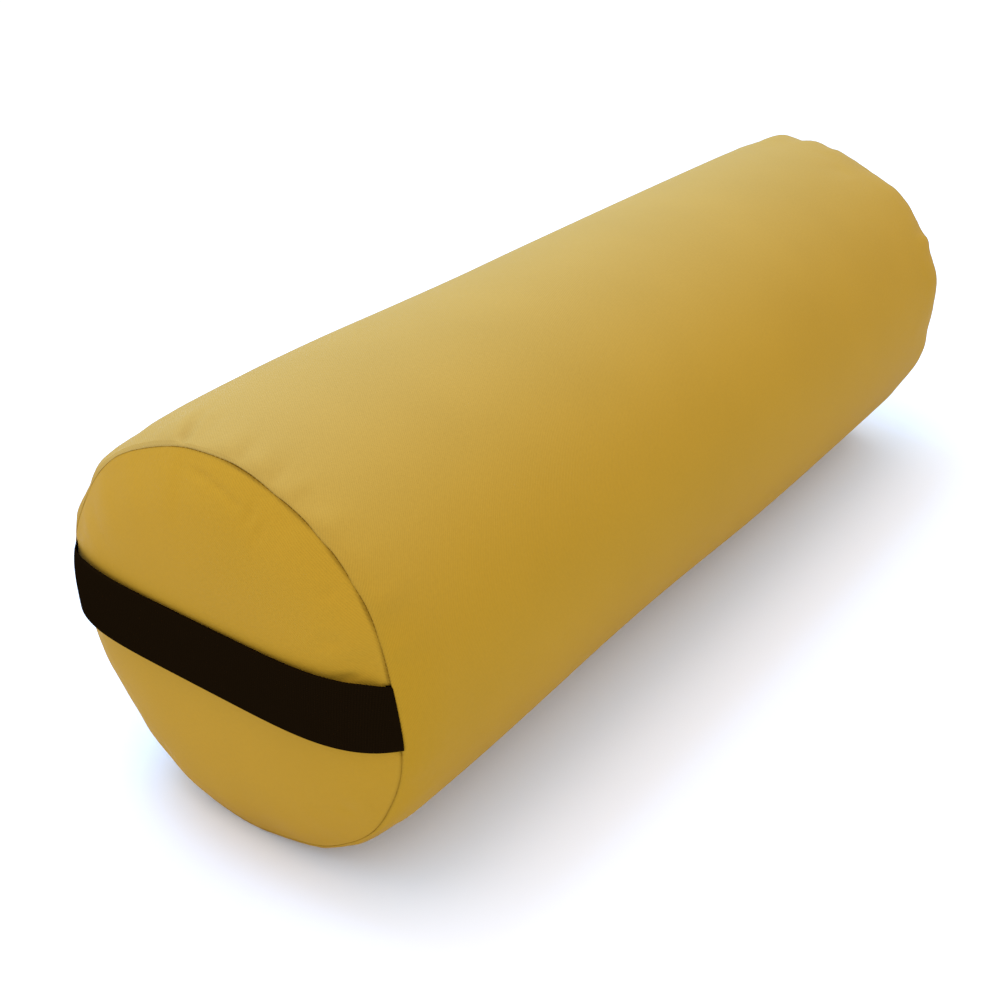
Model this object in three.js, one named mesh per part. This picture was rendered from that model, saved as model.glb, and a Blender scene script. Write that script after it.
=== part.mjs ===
// Round yoga bolster lying on its side
// A filled cloth cylinder with a domed round panel at each end and a carrying
// strap sewn into the seam of the near end. X runs along the bolster with the
// strap end at -X, +Z is up and the surface it lies on is z = 0.
// Angles run round the axis: 0 is the -Y side, 90 the top, 180 the +Y side.

import * as THREE from 'three';

// Driving dimensions in millimetres
const SEAM_DISTANCE = 675;
const MIDDLE_RADIUS = 127;
const SHOULDER_RADIUS = 124.8;
const SEAM_RADIUS = 117.6;
const SHOULDER_LENGTH = 27;
const SHOULDER_POWER = 1.9;
const FLOOR_CUT = 7;
const PANEL_CROWN = 13;
const PANEL_POWER = 3;
const PANEL_THICKNESS = 2;
const GAP = 0.3;

// Strap: webbing width and thickness, the height of its middle line above the
// axis, and how far its outer face stands off the seam along its two edges
const STRAP_WIDTH = 38.1;
const STRAP_THICKNESS = 2.5;
const STRAP_HEIGHT = 11.9;
const STRAP_RISE_TOP = 21.5;
const STRAP_RISE_LOW = 23.4;
const STRAP_SPAN_POWER = 5;
const STRAP_RISE_POWER = 1.35;

// Where the strap goes into the seam the end panel is drawn in: how deep, the
// degrees past the strap's edges that it stays so deep and then ramps out, and
// the shares of the radius between which it goes down
const ROOT_DEPTH = 3.5;
const ROOT_MARGIN = 2;
const ROOT_RAMP = 7;
const ROOT_INNER = 0.8;
const ROOT_OUTER = 0.94;

// How much of a side fold's rise shows on the end panel too, and the shares of
// the radius where that starts and where it is fullest
const PANEL_PUCKER = 0.35;
const PUCKER_START = 0.62;
const PUCKER_PEAK = 0.92;

// Distance from the seam at which the side's folds are fullest
const FOLD_ONSET = 5;

// Folds round each seam. at: angle in degrees, rise: how far the side panel
// puffs out there, or is drawn in where negative, half: half width in degrees,
// reach: length along the side over which it dies out
const NEAR_FOLDS = [
  { at: 45, rise: 2.6, half: 30, reach: 70 },
  { at: 62, rise: -1.3, half: 6, reach: 22 },
  { at: 78, rise: 1.4, half: 13, reach: 34 },
  { at: 97, rise: -2.2, half: 6, reach: 36 },
  { at: 115, rise: -1.4, half: 10, reach: 44 },
  { at: 127, rise: -2.0, half: 11, reach: 52 },
  { at: 138, rise: 1.2, half: 8, reach: 40 },
  { at: 147, rise: -1.2, half: 5, reach: 26 },
  { at: 158, rise: 2.4, half: 12, reach: 48 },
  { at: 196, rise: -0.8, half: 9, reach: 34 },
  { at: 216, rise: -2.2, half: 14, reach: 44 },
  { at: 231, rise: 0.9, half: 6, reach: 24 },
  { at: 248, rise: 1.5, half: 13, reach: 38 },
  { at: 262, rise: -1.0, half: 5, reach: 20 },
  { at: 282, rise: -2.2, half: 16, reach: 50 },
  { at: 304, rise: -1.2, half: 8, reach: 32 },
  { at: 319, rise: -1.6, half: 9, reach: 40 },
  { at: 335, rise: 1.0, half: 7, reach: 28 },
  { at: 351, rise: 0.8, half: 7, reach: 28 },
];

const FAR_FOLDS = [
  { at: 16, rise: 1.6, half: 9, reach: 36 },
  { at: 22, rise: -0.8, half: 5, reach: 24 },
  { at: 30, rise: 1.8, half: 6, reach: 30 },
  { at: 34.5, rise: -2.0, half: 4.5, reach: 34 },
  { at: 48, rise: 1.0, half: 9, reach: 38 },
  { at: 66, rise: -3.4, half: 15, reach: 70 },
  { at: 81, rise: -1.2, half: 6, reach: 34 },
  { at: 88, rise: 0.8, half: 6, reach: 30 },
  { at: 102, rise: 3.6, half: 11, reach: 56 },
  { at: 95, rise: -1.8, half: 5, reach: 30 },
  { at: 124, rise: -1.8, half: 9, reach: 52 },
  { at: 141, rise: 1.6, half: 10, reach: 40 },
  { at: 153, rise: -1.6, half: 6, reach: 30 },
  { at: 169, rise: 1.4, half: 9, reach: 42 },
  { at: 184, rise: -2.4, half: 8, reach: 48 },
  { at: 203, rise: 1.8, half: 10, reach: 36 },
  { at: 217, rise: -1.4, half: 6, reach: 28 },
  { at: 236, rise: 1.2, half: 10, reach: 44 },
  { at: 251, rise: -1.8, half: 7, reach: 36 },
  { at: 289, rise: -1.6, half: 8, reach: 34 },
  { at: 312, rise: 1.2, half: 9, reach: 36 },
  { at: 331, rise: -2.4, half: 8, reach: 44 },
  { at: 344, rise: 1.0, half: 7, reach: 30 },
  { at: 358, rise: -2.6, half: 11, reach: 52 },
];

// Seam ring: where it stands in or out of its mean radius. The strap pulls
// the near one in at both roots
const NEAR_RING = [
  { at: 49, rise: 2.6, half: 34 },
  { at: 80, rise: 1.4, half: 15 },
  { at: 112, rise: -1.5, half: 18 },
  { at: 10, rise: -3.4, half: 24 },
  { at: 168, rise: 3.0, half: 20 },
  { at: 217, rise: -1.8, half: 18 },
  { at: 250, rise: 1.2, half: 18 },
  { at: 284, rise: -2.2, half: 20 },
  { at: 322, rise: 1.0, half: 16 },
];

const FAR_RING = [
  { at: 20, rise: 1.2, half: 26 },
  { at: 66, rise: -2.6, half: 24 },
  { at: 101, rise: 2.0, half: 14 },
  { at: 140, rise: 1.0, half: 22 },
  { at: 186, rise: -1.8, half: 20 },
  { at: 236, rise: 1.0, half: 22 },
  { at: 286, rise: -1.6, half: 20 },
  { at: 340, rise: -1.8, half: 24 },
];

// Where the filling lies fuller or slacker along the side. at and from_near
// give the middle of each, half_turn and half_length its reach either way
const SIDE_SWELLS = [
  { at: 116, from_near: 120, rise: 2.6, half_turn: 52, half_length: 160 },
  { at: 322, from_near: 255, rise: -3.4, half_turn: 46, half_length: 200 },
];

// Slack creases that run across the side near the far end. at and from_seam
// give the middle of each, half_turn its half length in degrees, slant how far
// it drifts along the bolster over that, half_width across it, depth its dip
const SIDE_CREASES = [
  { at: 71, from_seam: 45, half_turn: 17, slant: -21, half_width: 9, depth: 1.3 },
  { at: 68, from_seam: 66, half_turn: 13, slant: -9, half_width: 11, depth: 0.9 },
  { at: 70, from_seam: 178, half_turn: 9, slant: 2, half_width: 16, depth: 0.6 },
];

// Mesh: steps round the axis, ring places on the end panels as a share of the
// seam's radius, and side rings as distances from the seam
const STEPS_ROUND = 96;
const PANEL_SHARES = [0.34, 0.58, 0.76, 0.87, 0.94, 1];
const SIDE_PLACES = [0, 1.2, 3.2, 6.5, 11, 17, 25, 35, 47, 62, 82, 112, 155, 212, 275];

// Strap mesh: steps from its middle to a root, how much they crowd towards the
// root, lanes across it, and the share of its span over which a slope is read
const STRAP_STEPS = 22;
const STRAP_CROWDING = 1.8;
const STRAP_LANES = 4;
const SLOPE_READ = 0.002;

// Fraction of a fold's height at an offset from its middle
function hump(offset, half) {
  const share = Math.abs(offset) / half;
  return share >= 1 ? 0 : Math.cos((Math.PI / 2) * share) ** 2;
}

function smoothStep(value, low, high) {
  const share = THREE.MathUtils.clamp((value - low) / (high - low), 0, 1);
  return share * share * (3 - 2 * share);
}

// Smallest signed turn from one angle to another
function turnBetween(angle, other) {
  return THREE.MathUtils.euclideanModulo(angle - other + 180, 360) - 180;
}

function sumOfRises(rows, angle) {
  return rows.reduce((sum, row) => sum + row.rise * hump(turnBetween(angle, row.at), row.half), 0);
}

const NEAR = { side: -1, folds: NEAR_FOLDS, ring: NEAR_RING, hasStrap: true };
const FAR = { side: 1, folds: FAR_FOLDS, ring: FAR_RING, hasStrap: false };

function seamRadius(end, angle) {
  return SEAM_RADIUS + sumOfRises(end.ring, angle);
}

// Angles at which the strap's two edges meet the seam on the -Y side
const STRAP_TOP_ANGLE = THREE.MathUtils.radToDeg(Math.asin((STRAP_HEIGHT + STRAP_WIDTH / 2) / SEAM_RADIUS));
const STRAP_LOW_ANGLE = THREE.MathUtils.radToDeg(Math.asin((STRAP_HEIGHT - STRAP_WIDTH / 2) / SEAM_RADIUS));

// Share of the way from the domed panel to the flat that a strap root lies on
function rootShare(end, angle, share) {
  if (!end.hasStrap) {
    return 0;
  }
  const middle = (STRAP_TOP_ANGLE + STRAP_LOW_ANGLE) / 2;
  const halfSpan = (STRAP_TOP_ANGLE - STRAP_LOW_ANGLE) / 2;
  const fromRoot = Math.min(
    Math.abs(turnBetween(angle, middle)),
    Math.abs(turnBetween(angle, 180 - middle)),
  );
  const round = 1 - smoothStep(fromRoot, halfSpan + ROOT_MARGIN, halfSpan + ROOT_MARGIN + ROOT_RAMP);
  return round * smoothStep(share, ROOT_INNER, ROOT_OUTER);
}

// Height of the end panel's outer face over the seam plane at a share of the radius
function panelHeight(end, angle, share) {
  const crown = PANEL_CROWN * (1 - share ** PANEL_POWER);
  const coming = smoothStep(share, PUCKER_START, PUCKER_PEAK);
  const going = 1 - smoothStep(share, PUCKER_PEAK, 1);
  const pucker = PANEL_PUCKER * coming * going * sumOfRises(end.folds, angle);
  return THREE.MathUtils.lerp(crown + pucker, -ROOT_DEPTH, rootShare(end, angle, share));
}

function sideCrease(angle, fromFarSeam) {
  return SIDE_CREASES.reduce((sum, crease) => {
    const turn = turnBetween(angle, crease.at);
    const middleLine = crease.from_seam + (crease.slant * turn) / crease.half_turn;
    const round = hump(turn, crease.half_turn);
    return sum - crease.depth * round * hump(fromFarSeam - middleLine, crease.half_width);
  }, 0);
}

function sideSwell(angle, fromNearSeam) {
  return SIDE_SWELLS.reduce((sum, swell) => {
    const round = hump(turnBetween(angle, swell.at), swell.half_turn);
    return sum + swell.rise * round * hump(fromNearSeam - swell.from_near, swell.half_length);
  }, 0);
}

// Radius of the side at an angle and a distance from the seam of one end
function sideRadius(end, angle, fromSeam) {
  const share = THREE.MathUtils.clamp(fromSeam / SHOULDER_LENGTH, 0, 1);
  const round = (1 - (1 - share) ** SHOULDER_POWER) ** (1 / SHOULDER_POWER);
  const along = 1 - (2 * fromSeam) / SEAM_DISTANCE;
  const barrel = (MIDDLE_RADIUS - SHOULDER_RADIUS) * (1 - along ** 2);
  const start = seamRadius(end, angle);
  let radius = start + (SHOULDER_RADIUS - start) * round + barrel;
  for (const fold of end.folds) {
    const rise = fold.rise * hump(turnBetween(angle, fold.at), fold.half);
    const fading = 1 - smoothStep(fromSeam, FOLD_ONSET, fold.reach);
    radius += rise * smoothStep(fromSeam, 0, FOLD_ONSET) * fading;
  }
  const fromFarSeam = end.side > 0 ? fromSeam : SEAM_DISTANCE - fromSeam;
  return radius + sideCrease(angle, fromFarSeam) + sideSwell(angle, SEAM_DISTANCE - fromFarSeam);
}

const AXIS_HEIGHT = MIDDLE_RADIUS - FLOOR_CUT;

// Point at a place along the axis, an angle and a radius, never under the surface
function ringPoint(x, angle, radius) {
  const turn = THREE.MathUtils.degToRad(angle);
  const height = AXIS_HEIGHT + radius * Math.sin(turn);
  return new THREE.Vector3(x, -radius * Math.cos(turn), Math.max(height, 0));
}

function ringOfPoints(xAt, radiusAt) {
  return Array.from({ length: STEPS_ROUND }, (_, step) => {
    const angle = (360 * step) / STEPS_ROUND;
    return ringPoint(xAt(angle), angle, radiusAt(angle));
  });
}

// Two triangles for the corners a, b, c, d in order round them, split along
// the shorter diagonal so that facing skins are split alike
function quad(points, a, b, c, d) {
  const splitAC = points[a].distanceTo(points[c]) <= points[b].distanceTo(points[d]);
  return splitAC ? [a, b, c, a, c, d] : [a, b, d, b, c, d];
}

// Closed body from a first tip, rings that follow each other, and a last tip
function closedSkin(firstTip, rings, lastTip) {
  const points = [firstTip, ...rings.flat(), lastTip];
  const triangles = [];
  const at = (ring, step) => 1 + ring * STEPS_ROUND + (step % STEPS_ROUND);
  for (let step = 0; step < STEPS_ROUND; step += 1) {
    triangles.push(0, at(0, step), at(0, step + 1));
    triangles.push(points.length - 1, at(rings.length - 1, step + 1), at(rings.length - 1, step));
    for (let ring = 0; ring + 1 < rings.length; ring += 1) {
      const corners = [at(ring, step), at(ring + 1, step), at(ring + 1, step + 1), at(ring, step + 1)];
      triangles.push(...quad(points, ...corners));
    }
  }
  return indexedGeometry(points, triangles);
}

function indexedGeometry(points, triangles) {
  const geometry = new THREE.BufferGeometry().setFromPoints(points);
  geometry.setIndex(triangles);
  geometry.computeVertexNormals();
  return geometry;
}

// Rings of one face of an end panel, set inwards along the axis by inset
function panelRings(end, inset, rimGap) {
  return PANEL_SHARES.map((share) => ringOfPoints(
    (angle) => end.side * (SEAM_DISTANCE / 2 + panelHeight(end, angle, share) - inset),
    (angle) => share * (seamRadius(end, angle) - rimGap),
  ));
}

function panelTip(end, inset) {
  return new THREE.Vector3(end.side * (SEAM_DISTANCE / 2 + PANEL_CROWN - inset), 0, AXIS_HEIGHT);
}

// Domed round panel, a sheet set into the body's end
function endPanel(end) {
  const outer = panelRings(end, 0, GAP);
  const inner = panelRings(end, PANEL_THICKNESS, GAP);
  const outerTip = panelTip(end, 0);
  const innerTip = panelTip(end, PANEL_THICKNESS);
  if (end.side < 0) {
    return closedSkin(outerTip, [...outer, ...inner.reverse()], innerTip);
  }
  return closedSkin(innerTip, [...inner, ...outer.reverse()], outerTip);
}

// Side panel and filling as one solid, hollowed at each end for its panel
function bolsterBody() {
  const seat = PANEL_THICKNESS + GAP;
  const sideRings = (end) => SIDE_PLACES.map((place) => ringOfPoints(
    () => end.side * (SEAM_DISTANCE / 2 - place),
    (angle) => sideRadius(end, angle, place),
  ));
  const middle = ringOfPoints(() => 0, (angle) => sideRadius(NEAR, angle, SEAM_DISTANCE / 2));
  const rings = [
    ...panelRings(NEAR, seat, 0),
    ...sideRings(NEAR),
    middle,
    ...sideRings(FAR).reverse(),
    ...panelRings(FAR, seat, 0).reverse(),
  ];
  return closedSkin(panelTip(NEAR, seat), rings, panelTip(FAR, seat));
}

// How far the strap's ends go down into the seam
const STRAP_TAIL = ROOT_DEPTH - GAP;

function seamRadiusAtHeight(height, side) {
  const angle = THREE.MathUtils.radToDeg(Math.asin(height / SEAM_RADIUS));
  return seamRadius(NEAR, side < 0 ? angle : 180 - angle);
}

// Outer face of the strap as (y, rise) for a share of the span from root to
// root, -1 to 1, and a lane across it, -0.5 to 0.5
function strapOutline(share, lane) {
  const height = STRAP_HEIGHT + lane * STRAP_WIDTH;
  const side = Math.sign(share) || -1;
  const reach = Math.sqrt((seamRadiusAtHeight(height, side) - GAP) ** 2 - height ** 2);
  const fullRise = THREE.MathUtils.lerp(STRAP_RISE_LOW, STRAP_RISE_TOP, lane + 0.5);
  const span = Math.min(Math.abs(share), 1);
  const rise = fullRise * (1 - span ** STRAP_SPAN_POWER) ** (1 / STRAP_RISE_POWER);
  return new THREE.Vector2(side * span * reach, rise);
}

// Shares of the span from root to root, closer together at the roots
function strapShares() {
  const shares = [];
  for (let step = -STRAP_STEPS; step <= STRAP_STEPS; step += 1) {
    const left = 1 - Math.abs(step) / STRAP_STEPS;
    shares.push(Math.sign(step) * (1 - left ** STRAP_CROWDING));
  }
  return shares;
}

// Points across the strap at one share: outer face, then inner face. depth
// lowers the ends into the seam
function strapSection(share, depth) {
  const outer = [];
  const inner = [];
  for (let lane = 0; lane <= STRAP_LANES; lane += 1) {
    const across = lane / STRAP_LANES - 0.5;
    const here = strapOutline(share, across);
    const before = strapOutline(Math.max(share - SLOPE_READ, -1), across);
    const after = strapOutline(Math.min(share + SLOPE_READ, 1), across);
    const along = after.sub(before).normalize();
    const inwards = Math.abs(share) === 1
      ? new THREE.Vector2(-Math.sign(share), 0)
      : new THREE.Vector2(along.y, -along.x);
    const height = AXIS_HEIGHT + STRAP_HEIGHT + across * STRAP_WIDTH;
    const place = (point) => new THREE.Vector3(-SEAM_DISTANCE / 2 - point.y + depth, point.x, height);
    outer.push(place(here));
    inner.push(place(here.clone().addScaledVector(inwards, STRAP_THICKNESS)));
  }
  return [...outer, ...inner.reverse()];
}

function carryStrap() {
  const sections = strapShares().map((share) => strapSection(share, 0));
  sections.unshift(strapSection(-1, STRAP_TAIL));
  sections.push(strapSection(1, STRAP_TAIL));
  const size = sections[0].length;
  const points = sections.flat();
  const triangles = [];
  const at = (section, index) => section * size + (index % size);
  for (let section = 0; section + 1 < sections.length; section += 1) {
    for (let index = 0; index < size; index += 1) {
      triangles.push(at(section, index), at(section + 1, index + 1), at(section + 1, index));
      triangles.push(at(section, index), at(section, index + 1), at(section + 1, index + 1));
    }
  }
  // End caps: outer and inner points face each other lane by lane
  const last = sections.length - 1;
  for (let lane = 0; lane < STRAP_LANES; lane += 1) {
    const facing = size - 1 - lane;
    triangles.push(at(0, lane), at(0, facing), at(0, facing - 1));
    triangles.push(at(0, lane), at(0, facing - 1), at(0, lane + 1));
    triangles.push(at(last, lane), at(last, facing - 1), at(last, facing));
    triangles.push(at(last, lane), at(last, lane + 1), at(last, facing - 1));
  }
  return indexedGeometry(points, triangles);
}

const bolsterCloth = { color: new THREE.Color(0xbb9636), roughness: 0.92, metalness: 0 };
const strapCloth = { color: new THREE.Color(0x17100a), roughness: 0.9, metalness: 0 };

function namedMesh(name, geometry, look) {
  const mesh = new THREE.Mesh(geometry, new THREE.MeshStandardMaterial(look));
  mesh.name = name;
  return mesh;
}

const bolster = new THREE.Group();
bolster.add(
  namedMesh('bolster_body', bolsterBody(), bolsterCloth),
  namedMesh('end_panel_near', endPanel(NEAR), bolsterCloth),
  namedMesh('end_panel_far', endPanel(FAR), bolsterCloth),
  namedMesh('carry_strap', carryStrap(), strapCloth),
);

// Origin under the middle of everything, on the surface
const bounds = new THREE.Box3().setFromObject(bolster);
const centre = bounds.getCenter(new THREE.Vector3());
bolster.position.set(-centre.x, -centre.y, -bounds.min.z);

export default bolster;
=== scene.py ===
# %% [markdown]
# # A yoga bolster, from a CAD model to cloth
# The CAD part is a plain solid for each piece that a maker would cut: the side panel with
# its filling, two round end panels and a carrying strap. It fixes every size. In this lesson
# Blender dresses it: finer cloth with gathers, seams with their stitches, webbing, and
# finishes that are all made of nodes. First the imported part is loaded.

# %% Load the part
import math

import bpy
import numpy as np
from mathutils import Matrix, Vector, noise
from mathutils.bvhtree import BVHTree


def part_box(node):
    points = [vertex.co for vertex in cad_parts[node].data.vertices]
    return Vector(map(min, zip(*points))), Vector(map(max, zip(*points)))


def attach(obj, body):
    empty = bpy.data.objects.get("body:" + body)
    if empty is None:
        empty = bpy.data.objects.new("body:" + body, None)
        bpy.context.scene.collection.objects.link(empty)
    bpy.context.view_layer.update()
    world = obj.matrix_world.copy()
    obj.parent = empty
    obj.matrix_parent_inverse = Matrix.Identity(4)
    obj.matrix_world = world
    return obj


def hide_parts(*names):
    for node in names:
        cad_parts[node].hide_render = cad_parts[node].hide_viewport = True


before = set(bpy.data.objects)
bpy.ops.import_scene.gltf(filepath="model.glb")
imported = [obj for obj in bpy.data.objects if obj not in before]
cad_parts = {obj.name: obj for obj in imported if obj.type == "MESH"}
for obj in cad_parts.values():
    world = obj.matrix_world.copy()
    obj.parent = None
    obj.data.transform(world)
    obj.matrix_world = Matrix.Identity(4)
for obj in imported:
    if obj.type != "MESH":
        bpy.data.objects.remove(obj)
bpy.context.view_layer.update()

# %% [markdown]
# ## Camera
# The camera comes first, because every later choice is judged through it. It could be placed
# by eye. Here it stands on a sphere round the bolster instead: a turn, a height angle, a
# distance and the point it looks at, so each number says something about the photograph.

# %% Camera
CAMERA_TURN = math.radians(-53.68)
CAMERA_RISE = math.radians(29.70)
CAMERA_DISTANCE = 0.9023
CAMERA_TARGET = Vector((-0.0934, 0.0, 0.1029))
LENS_MM = 50.0
SENSOR_MM = 36.0

camera_back = Vector((
    math.sin(CAMERA_TURN) * math.cos(CAMERA_RISE),
    -math.cos(CAMERA_TURN) * math.cos(CAMERA_RISE),
    math.sin(CAMERA_RISE),
))
camera_data = bpy.data.cameras.new("photo_camera")
camera_data.lens = LENS_MM
camera_data.sensor_width = SENSOR_MM
camera = bpy.data.objects.new("photo_camera", camera_data)
camera.location = CAMERA_TARGET + camera_back * CAMERA_DISTANCE
camera.rotation_euler = (-camera_back).to_track_quat("-Z", "Y").to_euler()
bpy.context.scene.collection.objects.link(camera)
bpy.context.scene.camera = camera
print("camera stands at", tuple(round(place, 3) for place in camera.location))

# %% [markdown]
# ## Measuring the solid
# A maker lays a tape on a sample. Blender can do the same with rays: a ray shot from outside
# towards the bolster's axis stops on the solid, and the distance gives its radius there.
# Angles run round the axis: 0 is the front, 90 the top, 180 the back and 270 underneath.
# The dome of the far end panel has its tip on the axis, so that one corner gives the axis.

# %% The axis and the two seam planes
PANEL_CROWN = 0.013
NEAR = -1
FAR = 1
END_NODES = {NEAR: "end_panel_near", FAR: "end_panel_far"}


def tip_of(side):
    """Outermost corner of an end panel. NEAR is the strap's end."""
    corners = np.array([corner.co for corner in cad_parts[END_NODES[side]].data.vertices])
    return corners[(corners[:, 0] * side).argmax()]


AXIS_Y, AXIS_Z = (float(place) for place in tip_of(FAR)[1:])
SEAM_X = {side: float(tip_of(side)[0]) - side * PANEL_CROWN for side in (NEAR, FAR)}
SIDE_LENGTH = SEAM_X[FAR] - SEAM_X[NEAR]
print("axis at y", round(AXIS_Y, 4), "z", round(AXIS_Z, 4), "seam to seam", round(SIDE_LENGTH, 4))

# %% [markdown]
# The tape readings are taken at a few places only, closer together where the shoulder turns
# in to the seam. A smooth curve through them then gives any number of points in between,
# without the flat facets of the solid.

# %% Tape readings of the side
RAY_START = 0.2
NUDGE = 0.00003
READINGS_ROUND = 96
READING_PLACES = [0, 0.0012, 0.0032, 0.0065, 0.011, 0.017, 0.025, 0.035, 0.047, 0.062]
READING_PLACES += [0.082, 0.112, 0.155, 0.212, 0.275]


def ray_tree(node):
    """A CAD solid in the form that rays are shot at."""
    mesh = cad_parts[node].data
    corners = [corner.co for corner in mesh.vertices]
    return BVHTree.FromPolygons(corners, [tuple(face.vertices) for face in mesh.polygons])


def outwards(turn):
    """Direction away from the axis at a turn in degrees, as (y, z)."""
    return -np.cos(np.radians(turn)), np.sin(np.radians(turn))


def on_axis(x, turn, radius):
    """Points at places along the axis, turns in degrees and radii."""
    y, z = outwards(turn)
    return np.stack(np.broadcast_arrays(x, AXIS_Y + radius * y, AXIS_Z + radius * z), -1)


def side_reading(tree, x, turn):
    """Radius of the solid's side at a place and a turn."""
    y, z = outwards(turn)
    start = on_axis(x, turn, RAY_START)
    hit = tree.ray_cast(Vector(start), Vector((0, -y, -z)))
    return RAY_START - hit[3]


reading_turns = np.arange(READINGS_ROUND) * 360 / READINGS_ROUND
near_places = [SEAM_X[NEAR] + place for place in READING_PLACES]
far_places = [SEAM_X[FAR] - place for place in reversed(READING_PLACES)]
reading_x = np.array(near_places + [(SEAM_X[NEAR] + SEAM_X[FAR]) / 2] + far_places)
inside_x = reading_x.clip(SEAM_X[NEAR] + NUDGE, SEAM_X[FAR] - NUDGE)
body_tree = ray_tree("bolster_body")
side_readings = [[side_reading(body_tree, x, turn) for turn in reading_turns] for x in inside_x]
side_readings = np.array(side_readings)
print("side readings:", side_readings.shape)
print("radius from", side_readings.min().round(4), "to", side_readings.max().round(4))

# %% [markdown]
# The curve is the one that passes through every reading and takes its direction from the
# neighbours (a Catmull-Rom curve). One helper blends along rows, and the same helper used on
# the turned-over table blends round the bolster, where the last reading meets the first.

# %% Smooth curves through the readings
CURVE_STEPS = 4000


def through_rows(rows, at):
    """Rows on a smooth curve through the given ones. at counts in rows and may be a fraction."""
    rows = np.concatenate([2 * rows[:1] - rows[1:2], rows, 2 * rows[-1:] - rows[-2:-1]])
    first = np.clip(np.floor(at).astype(int), 0, len(rows) - 4)
    share = (at - first).reshape((-1,) + (1,) * (rows.ndim - 1))
    before, here, after, beyond = (rows[first + step] for step in range(4))
    cubic = 3 * (here - after) + beyond - before
    square = 2 * before - 5 * here + 4 * after - beyond
    return here + share / 2 * (after - before + share * (square + share * cubic))


def round_table(table, steps):
    """The same table with this many columns round the bolster."""
    around = np.concatenate([table[:, -2:], table, table[:, :3]], axis=1)
    at = np.arange(steps) * table.shape[1] / steps + 2
    return through_rows(around.swapaxes(0, 1), at).swapaxes(0, 1)


def side_table(places_x, steps):
    """Radius of the side at places along the axis and evenly spaced turns."""
    count = np.linspace(0, len(reading_x) - 1, CURVE_STEPS)
    fine_x = through_rows(reading_x[:, None], count)[:, 0]
    at = np.interp(places_x, fine_x, count)
    return round_table(through_rows(side_readings, at), steps)


print("radius at the middle, front and top:", side_table(np.zeros(1), 4)[0, :2].round(4))

# %% [markdown]
# ## Side panel: a grid that follows the solid
# The side panel is one piece of cloth rolled into a tube. A grid suits it: rows run round the
# bolster and columns along it, so the weave can follow them. The rows crowd towards the
# seams, where the shoulder turns and the gathers are small.

# %% Grid of the side panel
ROUND_STEPS = 176
HALF_ROWS = 54
SEAM_CROWDING = 0.22
MIDDLE_POWER = 1.6

half_share = np.linspace(0, 1, HALF_ROWS + 1)
crowded = SEAM_CROWDING * half_share + (1 - SEAM_CROWDING) * half_share ** MIDDLE_POWER
half_places = SIDE_LENGTH / 2 * crowded
side_x = np.concatenate([SEAM_X[NEAR] + half_places, (SEAM_X[FAR] - half_places)[-2::-1]])
side_from_seam = np.minimum(side_x - SEAM_X[NEAR], SEAM_X[FAR] - side_x)
turns = np.arange(ROUND_STEPS) * 360 / ROUND_STEPS
side_radius = side_table(side_x, ROUND_STEPS)
print("side grid", side_radius.shape, "first row", round(float(half_places[1]) * 1000, 2), "mm from the seam")

# %% [markdown]
# ## Rows of points become faces
# Every cloth piece in this lesson is a tube: rows of points that run round it, one after the
# other, and a tip that closes each end. A cylinder could be bent to that shape, but a mesh
# made from a list of points and a list of faces keeps each point where it was worked out.
# Smooth curves then put one more row between each two rows, and one more point between each
# two points, so the cloth has no flat facets.

# %% Meshes from rows of points
def tube_faces(rows, steps):
    """Quads between rows of a tube that closes on itself, facing outwards."""
    row, step = np.meshgrid(np.arange(rows - 1), np.arange(steps), indexing="ij")
    beside = (step + 1) % steps
    corners = [row * steps + step, (row + 1) * steps + step, (row + 1) * steps + beside, row * steps + beside]
    return np.stack(corners, -1).reshape(-1, 4).tolist()


def tip_faces(first, tip, steps, last):
    """Triangles that close the first or the last row of a tube on its tip."""
    pairs = [(first + step, first + (step + 1) % steps) for step in range(steps)]
    return [(tip, b, a) if last else (tip, a, b) for a, b in pairs]


def mesh_object(name, points, faces):
    """A new object with this mesh, linked to the scene."""
    mesh = bpy.data.meshes.new(name)
    mesh.from_pydata(points.tolist(), [], faces)
    mesh.update()
    piece = bpy.data.objects.new(name, mesh)
    bpy.context.scene.collection.objects.link(piece)
    return piece


def smooth_object(name, points, faces):
    """A new object whose faces are shaded as one smooth surface."""
    piece = mesh_object(name, points, faces)
    piece.data.polygons.foreach_set("use_smooth", [True] * len(faces))
    return piece


def finer(rows):
    """Twice as many rows and steps, on smooth curves through the given points."""
    more_rows = through_rows(rows, np.arange(2 * len(rows) - 1) / 2)
    return round_table(more_rows, 2 * rows.shape[1])


def closed_tube(name, rows, first_tip, last_tip):
    """A smooth closed body from rows of points and the two tips that its ends close on."""
    rows = finer(rows)
    count, steps = rows.shape[:2]
    points = np.concatenate([rows.reshape(-1, 3), [first_tip, last_tip]])
    faces = tube_faces(count, steps)
    faces += tip_faces(0, count * steps, steps, False)
    faces += tip_faces((count - 1) * steps, count * steps + 1, steps, True)
    return smooth_object(name, points, faces)


# %% [markdown]
# ## Gathers from the sewing
# The side panel is cut as wide as the filled middle, but it is sewn to round ends that are
# smaller. The spare cloth at each seam has to go somewhere, and it stands up in small uneven
# gathers. They could be modelled one by one. Cloth simulation makes them the way the sewing
# does: the cloth starts at its cut size, the two seam edges are drawn in to the seam rings,
# and pressure stands for the filling. The mesh for it is a copy that is thrown away.

# %% Cloth simulation of the side panel
CUT_SHARE = 0.994
SEAM_SLACK = 0.03
SLACK_REACH = 0.05
PRESSURE = 0.5
STRETCH_STIFFNESS = 80
BENDING_STIFFNESS = 0.4
CLOTH_QUALITY = 5
SEWING_FRAMES = 8
CLOTH_FRAMES = 20
ROUGHNESS_OF_HAND = 0.00015
CHANCE_SEED = 7


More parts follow.
